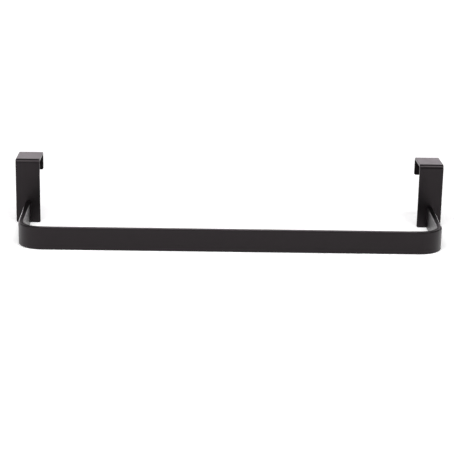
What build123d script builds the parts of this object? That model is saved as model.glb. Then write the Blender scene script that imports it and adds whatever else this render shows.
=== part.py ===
from build123d import *
import os

# Over-cabinet towel bar, in millimetres.
# A flat steel bar, bent to a U and standing on its edge, is welded by both ends to two hooks.
# Each hook is a steel strip folded over the top of a cabinet door.
# X runs along the bar, Y from the room into the cabinet, Z up.
# The origin is under the middle of the whole part, level with the foot of the hooks and the bar.

# Door that the hooks go over
door_thickness = 19.0
door_clearance = 0.5

# Hooks: section of the strip, its folds, and its two legs measured from the top of the flange
strip_width = 14.2
strip_thickness = 1.4
fold_inner_radius = 1.0
strip_corner_radius = 0.9
strip_edge_radius = 0.3
hook_height = 38.4
lip_length = 11.0

# Rail: section of the bar, its length outside, its reach in front of the hooks and the bend at each corner
bar_height = 13.0
bar_thickness = 3.0
bar_edge_radius = 0.7
rail_length = 239.7
rail_reach = 56.5
rail_corner_radius = 14.0

# Each arm of the rail opens outward by this much from its corner to the middle of its strip
arm_toe_out = 1.1

# A rounded edge takes up no more than this share of the thickness of the metal
widest_edge_share = 0.45

# Places from front to back, and up: the bar's ends butt against the front plates
door_slot = door_thickness + door_clearance
overall_depth = rail_reach + door_slot + 2 * strip_thickness
rail_front = -overall_depth / 2
plate_front = rail_front + rail_reach
plate_back = plate_front + strip_thickness
lip_front = plate_back + door_slot
seat_height = hook_height - strip_thickness
lip_end = hook_height - lip_length
rail_half_length = rail_length / 2
arm_half_spread = rail_half_length + arm_toe_out
hook_place = arm_half_spread - bar_thickness / 2


def sharp_edges(solid):
    """The edges where faces meet at a corner, without the smooth ends of folds and bends."""

    def is_sharp(edge):
        middle = edge @ 0.5
        first, second = (face.normal_at(middle) for face in solid.faces() if edge in face.edges())
        return first.get_angle(second) > 1

    return solid.edges().filter_by(is_sharp)


def edge_radius(wanted, thickness):
    """The rounding of an edge, limited by the thickness of the metal."""
    return min(wanted, widest_edge_share * thickness)


def make_hook():
    """A strip folded twice: front plate, flange on the door's top edge, lip behind the door.

    Its outer edges are rounded. The side that faces the door keeps the square edges of sheared strip.
    """
    with BuildPart() as hook:
        with BuildSketch(Plane.YZ):
            with BuildLine():
                door_side = FilletPolyline(
                    (plate_back, 0),
                    (plate_back, seat_height),
                    (lip_front, seat_height),
                    (lip_front, lip_end),
                    radius=fold_inner_radius,
                )
                offset(amount=strip_thickness, side=Side.LEFT)
            make_face()
        extrude(amount=strip_width / 2, both=True)
        foot_corners, lip_corners = hook.edges().filter_by(Axis.Y).group_by(Axis.Z)[:2]
        fillet(foot_corners + lip_corners, strip_corner_radius)

        def is_outside(edge):
            middle = edge @ 0.5
            return door_side.distance_to((middle.Y, middle.Z, 0)) > strip_thickness / 2

        outer_edges = sharp_edges(hook.part).filter_by(is_outside)
        fillet(outer_edges, edge_radius(strip_edge_radius, strip_thickness))
    return hook.part


def make_rail():
    """A flat bar bent to a U in plan, with rounded long edges and plain ends.

    The bar is bent longer than needed, then sawn off where it meets the front plates.
    """
    uncut = 1 + 2 * bar_thickness / rail_reach
    uncut_half_spread = rail_half_length + uncut * arm_toe_out
    uncut_end = rail_front + uncut * rail_reach
    with BuildPart() as rail:
        with BuildSketch():
            with BuildLine():
                FilletPolyline(
                    (-uncut_half_spread, uncut_end),
                    (-rail_half_length, rail_front),
                    (rail_half_length, rail_front),
                    (uncut_half_spread, uncut_end),
                    radius=rail_corner_radius,
                )
                offset(amount=bar_thickness, side=Side.LEFT)
            make_face()
        extrude(amount=bar_height)
        split(bisect_by=Plane.XZ.offset(-plate_front), keep=Keep.TOP)
        edges = sharp_edges(rail.part)
        sawn_ends = edges.group_by(Axis.Y)[-1]
        fillet(edges - sawn_ends, edge_radius(bar_edge_radius, bar_thickness))
    return rail.part


hook = make_hook()
nodes = {
    "rail": make_rail(),
    "left_hook": Pos(X=-hook_place) * hook,
    "right_hook": Pos(X=hook_place) * hook,
}

os.makedirs("parts", exist_ok=True)
for name, solid in nodes.items():
    export_step(solid, f"parts/{name}.step")
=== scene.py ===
"""Over-cabinet towel bar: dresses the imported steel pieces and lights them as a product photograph."""

import logging
import math
from dataclasses import dataclass
from enum import Enum
from typing import Any

import bpy
from mathutils import Matrix, Vector


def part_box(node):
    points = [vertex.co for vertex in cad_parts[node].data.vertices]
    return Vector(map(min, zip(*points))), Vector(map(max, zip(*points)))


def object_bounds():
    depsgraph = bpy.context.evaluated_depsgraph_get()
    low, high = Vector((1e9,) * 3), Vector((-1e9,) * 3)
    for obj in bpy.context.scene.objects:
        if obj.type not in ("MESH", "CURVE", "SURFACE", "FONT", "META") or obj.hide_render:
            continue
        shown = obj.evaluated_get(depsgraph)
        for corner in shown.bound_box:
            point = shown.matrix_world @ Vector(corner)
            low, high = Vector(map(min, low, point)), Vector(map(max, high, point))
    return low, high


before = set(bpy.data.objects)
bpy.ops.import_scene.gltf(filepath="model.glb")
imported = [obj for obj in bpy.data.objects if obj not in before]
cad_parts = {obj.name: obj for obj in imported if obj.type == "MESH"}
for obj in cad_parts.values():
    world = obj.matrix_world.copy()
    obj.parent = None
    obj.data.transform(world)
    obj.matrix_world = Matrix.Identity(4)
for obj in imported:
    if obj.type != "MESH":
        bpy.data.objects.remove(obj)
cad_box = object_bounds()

log = logging.getLogger("towel_bar")

MM = 0.001

Colour = tuple[float, float, float, float]
Place = tuple[float, float, float]


class Side(Enum):
    """The two ends of the rail, as seen from the room, with the hook at each."""

    LEFT = "left_hook"
    RIGHT = "right_hook"


def linear(hex_colour: str) -> Colour:
    """Turn an sRGB hex colour into linear light.

    Args:
        hex_colour: Six hex digits after a hash, such as "#0f0e0f".

    Returns:
        Linear red, green and blue, with an alpha of 1.
    """
    shares = [int(hex_colour[i : i + 2], 16) / 255 for i in (1, 3, 5)]
    red, green, blue = (s / 12.92 if s <= 0.04045 else ((s + 0.055) / 1.055) ** 2.4 for s in shares)
    return red, green, blue, 1.0


def add_node(
    tree: bpy.types.NodeTree,
    kind: str,
    settings: dict[str, Any] | None = None,
    inputs: dict[str | int, Any] | None = None,
) -> bpy.types.Node:
    """Add one node, with its settings, socket values and links.

    Args:
        tree: The node tree that gets the node.
        kind: Blender's name for the node type.
        settings: Properties of the node itself.
        inputs: Socket name or index to a plain value, or to the output socket that feeds it.

    Returns:
        The new node.
    """
    node = tree.nodes.new(kind)
    for name, value in (settings or {}).items():
        setattr(node, name, value)
    for name, value in (inputs or {}).items():
        if isinstance(value, bpy.types.NodeSocket):
            tree.links.new(value, node.inputs[name])
        else:
            node.inputs[name].default_value = value
    return node


def seen(tree: bpy.types.NodeTree) -> bpy.types.NodeSocket:
    """Tell the rays that show a surface from those that only light others.

    Args:
        tree: The node tree that asks.

    Returns:
        A socket that is 1 for camera, glossy and transmission rays, and 0 for the rest.
    """
    path = add_node(tree, "ShaderNodeLightPath").outputs
    larger = {"operation": "MAXIMUM"}
    mirrored = {0: path["Is Glossy Ray"], 1: path["Is Transmission Ray"]}
    gloss = add_node(tree, "ShaderNodeMath", larger, mirrored).outputs[0]
    return add_node(tree, "ShaderNodeMath", larger, {0: path["Is Camera Ray"], 1: gloss}).outputs[0]


@dataclass(frozen=True)
class PowderCoat:
    """Black polyester powder coat, sprayed dry on the welded steel and baked until it flows together."""

    # The baked film gives the eye an even black with a soft gloss, in which white surfaces show as a dim,
    # blurred grey that leans a little to rose. The flow of the melt leaves a faint orange peel and lets
    # the gloss drift. IOR and roughness start from a polyester film's 1.5 and 0.3, and are then matched to
    # the grey on the part.
    name: str = "black_powder_coat_baked"
    colour: str = "#030303"
    sheen: str = "#fff0f7"
    ior: float = 1.4
    roughness: float = 0.36
    roughness_spread: float = 0.04
    cloud_mm: float = 9.0
    cloud_detail: float = 2.0
    peel_mm: float = 1.6
    peel_detail: float = 1.0
    peel_depth_mm: float = 0.0015

    def make(self) -> bpy.types.Material:
        """Build the material.

        Returns:
            A semi-gloss black with the film's drift of gloss and its orange peel.
        """
        material = bpy.data.materials.new(self.name)
        material.use_nodes = True
        tree = material.node_tree
        tree.nodes.clear()
        place = add_node(tree, "ShaderNodeTexCoord").outputs["Object"]
        clouds = add_node(
            tree,
            "ShaderNodeTexNoise",
            inputs={"Vector": place, "Scale": 1 / (self.cloud_mm * MM), "Detail": self.cloud_detail},
        )
        gloss = add_node(
            tree,
            "ShaderNodeMapRange",
            inputs={
                "Value": clouds.outputs["Fac"],
                "To Min": self.roughness - self.roughness_spread,
                "To Max": self.roughness + self.roughness_spread,
            },
        )
        peel = add_node(
            tree,
            "ShaderNodeTexNoise",
            inputs={"Vector": place, "Scale": 1 / (self.peel_mm * MM), "Detail": self.peel_detail},
        )
        bump = add_node(
            tree,
            "ShaderNodeBump",
            inputs={"Height": peel.outputs["Fac"], "Distance": self.peel_depth_mm * MM, "Strength": 1.0},
        )
        film = add_node(
            tree,
            "ShaderNodeBsdfPrincipled",
            inputs={
                "Base Color": linear(self.colour),
                "IOR": self.ior,
                "Specular Tint": linear(self.sheen),
                "Roughness": gloss.outputs["Result"],
                "Normal": bump.outputs["Normal"],
            },
        )
        add_node(tree, "ShaderNodeOutputMaterial", inputs={"Surface": film.outputs["BSDF"]})
        return material


@dataclass(frozen=True)
class MattLaminate:
    """White table laminate, pressed with a matt face."""

    # The matt face gives the eye plain white with soft shadows and no mirror image. Wherever it is seen,
    # directly or in the coat, it also glows: a little round the part, so that the shadow stays, and nearly
    # to white far away, where the lamps no longer reach.
    name: str = "white_table_matt"
    colour: str = "#fafafa"
    glow_colour: str = "#ffffff"
    near_glow: float = 0.3
    far_glow: float = 0.95
    glow_from_mm: float = 200.0
    glow_to_mm: float = 1300.0

    def make(self) -> bpy.types.Material:
        """Build the material.

        Returns:
            A matt white with a glow that grows with the distance from the part.
        """
        material = bpy.data.materials.new(self.name)
        material.use_nodes = True
        tree = material.node_tree
        tree.nodes.clear()
        place = add_node(tree, "ShaderNodeNewGeometry").outputs["Position"]
        away = add_node(tree, "ShaderNodeVectorMath", {"operation": "LENGTH"}, {0: place}).outputs["Value"]
        rise = add_node(
            tree,
            "ShaderNodeMapRange",
            inputs={
                "Value": away,
                "From Min": self.glow_from_mm * MM,
                "From Max": self.glow_to_mm * MM,
                "To Min": self.near_glow,
                "To Max": self.far_glow,
            },
        )
        glow = add_node(
            tree,
            "ShaderNodeMath",
            {"operation": "MULTIPLY"},
            {0: seen(tree), 1: rise.outputs["Result"]},
        )
        lit = add_node(tree, "ShaderNodeBsdfDiffuse", inputs={"Color": linear(self.colour)})
        shown = add_node(
            tree,
            "ShaderNodeEmission",
            inputs={"Color": linear(self.glow_colour), "Strength": glow.outputs[0]},
        )
        both = add_node(tree, "ShaderNodeAddShader", inputs={0: lit.outputs[0], 1: shown.outputs[0]})
        add_node(tree, "ShaderNodeOutputMaterial", inputs={"Surface": both.outputs[0]})
        return material


def dress_node(name: str, material: bpy.types.Material) -> None:
    """Put a finish on a steel piece and report it.

    Args:
        name: The piece's node in the frame.
        material: The finish.
    """
    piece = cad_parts[name]
    piece.data.materials.clear()
    piece.data.materials.append(material)
    low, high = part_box(name)
    size = [round((b - a) / MM, 1) for a, b in zip(low, high)]
    log.info("%s dressed in %s, %s mm", name, material.name, size)


@dataclass(frozen=True)
class Rail:
    """The flat bar, bent to a U and standing on its edge."""

    node: str = "rail"

    def dress(self, coat: bpy.types.Material) -> None:
        """Give the bar its coat."""
        dress_node(self.node, coat)


@dataclass(frozen=True)
class Hook:
    """One strip folded over the top of the door."""

    side: Side

    def dress(self, coat: bpy.types.Material) -> None:
        """Give the strip its coat."""
        dress_node(self.side.value, coat)


@dataclass(frozen=True)
class Softbox:
    """A lamp behind a rectangle of white cloth, aimed at the middle of the part."""

    # The brightness is the cloth's own, so a larger cloth of the same brightness gives more light
    name: str
    place_mm: Place
    width_mm: float
    height_mm: float
    brightness: float
    colour: str = "#ffffff"

    def hang(self, target: Vector) -> None:
        """Make the lamp.

        Args:
            target: The point that it faces, in metres.
        """
        lamp = bpy.data.lights.new(self.name, "AREA")
        lamp.shape = "RECTANGLE"
        lamp.size = self.width_mm * MM
        lamp.size_y = self.height_mm * MM
        lamp.color = linear(self.colour)[:3]
        lamp.energy = self.brightness * math.pi * lamp.size * lamp.size_y
        holder = bpy.data.objects.new(self.name, lamp)
        holder.location = Vector(self.place_mm) * MM
        holder.rotation_euler = (target - holder.location).to_track_quat("-Z", "Y").to_euler()
        holder.visible_camera = False
        bpy.context.scene.collection.objects.link(holder)
        log.info("%s hung", self.name)


@dataclass(frozen=True)
class Studio:
    """A white table in a white room, with soft lamps."""

    table: MattLaminate = MattLaminate()
    table_radius_mm: float = 20000.0
    table_sides: int = 96

    # Brightness of the room, in shares of white
    wall_colour: str = "#ffffff"
    back_wall: float = 0.5
    front_wall: float = 0.1
    ceiling: float = 0.1

    # A direction that leans this far to the front or back meets a wall at its full brightness
    wall_lean: float = 0.5

    # Above, the main light, which draws the light line along the folds. Behind, the cloth that the flat
    # tops of the hooks mirror, with two low strips that draw the light lines along the arms. On the left,
    # a fill for the front.
    lamps: tuple[Softbox, ...] = (
        Softbox("top_softbox", (60.0, -440.0, 950.0), 1000.0, 300.0, 10.0),
        Softbox("back_softbox", (-150.0, 950.0, 330.0), 1300.0, 420.0, 1.42, "#fff2fa"),
        Softbox("left_strip", (-420.0, 950.0, 45.0), 360.0, 90.0, 8.0),
        Softbox("right_strip", (420.0, 950.0, 45.0), 360.0, 90.0, 8.0),
        Softbox("left_softbox", (-700.0, -800.0, 450.0), 900.0, 700.0, 1.8),
    )

    def build(self) -> None:
        """Lay the table, light the room and hang the lamps."""
        low, high = cad_box
        bpy.context.scene.view_settings.view_transform = "Standard"
        self.lay_table(low.z)
        self.light_room()
        for lamp in self.lamps:
            lamp.hang((low + high) / 2)

    def lay_table(self, height: float) -> None:
        """Lay a round white table under the part.

        Args:
            height: The level that the part stands on, in metres.
        """
        mesh = bpy.data.meshes.new("floor")
        radius = self.table_radius_mm * MM
        turns = [2 * math.pi * i / self.table_sides for i in range(self.table_sides)]
        rim = [(radius * math.cos(turn), radius * math.sin(turn), height) for turn in turns]
        mesh.from_pydata(rim, [], [range(self.table_sides)])
        mesh.materials.append(self.table.make())
        floor = bpy.data.objects.new("floor", mesh)
        bpy.context.scene.collection.objects.link(floor)

    def light_room(self) -> None:
        """Make the room white, brightest behind the part and dim in front and overhead."""
        world = bpy.data.worlds.new("white_room")
        world.use_nodes = True
        bpy.context.scene.world = world
        tree = world.node_tree
        tree.nodes.clear()
        direction = add_node(tree, "ShaderNodeTexCoord").outputs["Generated"]
        way = add_node(tree, "ShaderNodeSeparateXYZ", inputs={0: direction}).outputs
        wall = add_node(
            tree,
            "ShaderNodeMapRange",
            inputs={
                "Value": way["Y"],
                "From Min": -self.wall_lean,
                "From Max": self.wall_lean,
                "To Min": self.front_wall,
                "To Max": self.back_wall,
            },
        )
        glow = add_node(
            tree,
            "ShaderNodeMapRange",
            inputs={"Value": way["Z"], "To Min": wall.outputs["Result"], "To Max": self.ceiling},
        )
        room = add_node(
            tree,
            "ShaderNodeBackground",
            inputs={"Color": linear(self.wall_colour), "Strength": glow.outputs["Result"]},
        )
        add_node(tree, "ShaderNodeOutputWorld", inputs={"Surface": room.outputs[0]})


@dataclass(frozen=True)
class ProductCamera:
    """The camera of the photograph, placed by fitting the part's edges to it."""

    frame_px: float = 455.0
    focal_px: float = 1475.5
    sensor_mm: float = 36.0
    place_mm: Place = (-19.03, -831.13, 238.02)
    yaw_deg: float = -1.226
    pitch_deg: float = 15.769
    roll_deg: float = -1.108

    def set_up(self) -> None:
        """Make the camera and give it to the scene."""
        data = bpy.data.cameras.new("product_camera")
        data.sensor_width = self.sensor_mm
        data.lens = self.focal_px * self.sensor_mm / self.frame_px
        camera = bpy.data.objects.new("product_camera", data)
        level = Matrix.Rotation(math.pi / 2, 4, "X")
        yaw = Matrix.Rotation(math.radians(self.yaw_deg), 4, "Z")
        pitch = Matrix.Rotation(math.radians(-self.pitch_deg), 4, "X")
        roll = Matrix.Rotation(math.radians(self.roll_deg), 4, "Y")
        camera.matrix_world = Matrix.Translation(Vector(self.place_mm) * MM) @ yaw @ pitch @ roll @ level
        bpy.context.scene.collection.objects.link(camera)
        bpy.context.scene.camera = camera


def main() -> None:
    """Dress each piece, then set up the studio and the camera."""
    logging.basicConfig(level=logging.INFO, format="%(name)s: %(message)s")
    coat = PowderCoat().make()
    Rail().dress(coat)
    for side in Side:
        Hook(side).dress(coat)
    Studio().build()
    ProductCamera().set_up()


if __name__ == "__main__":
    main()
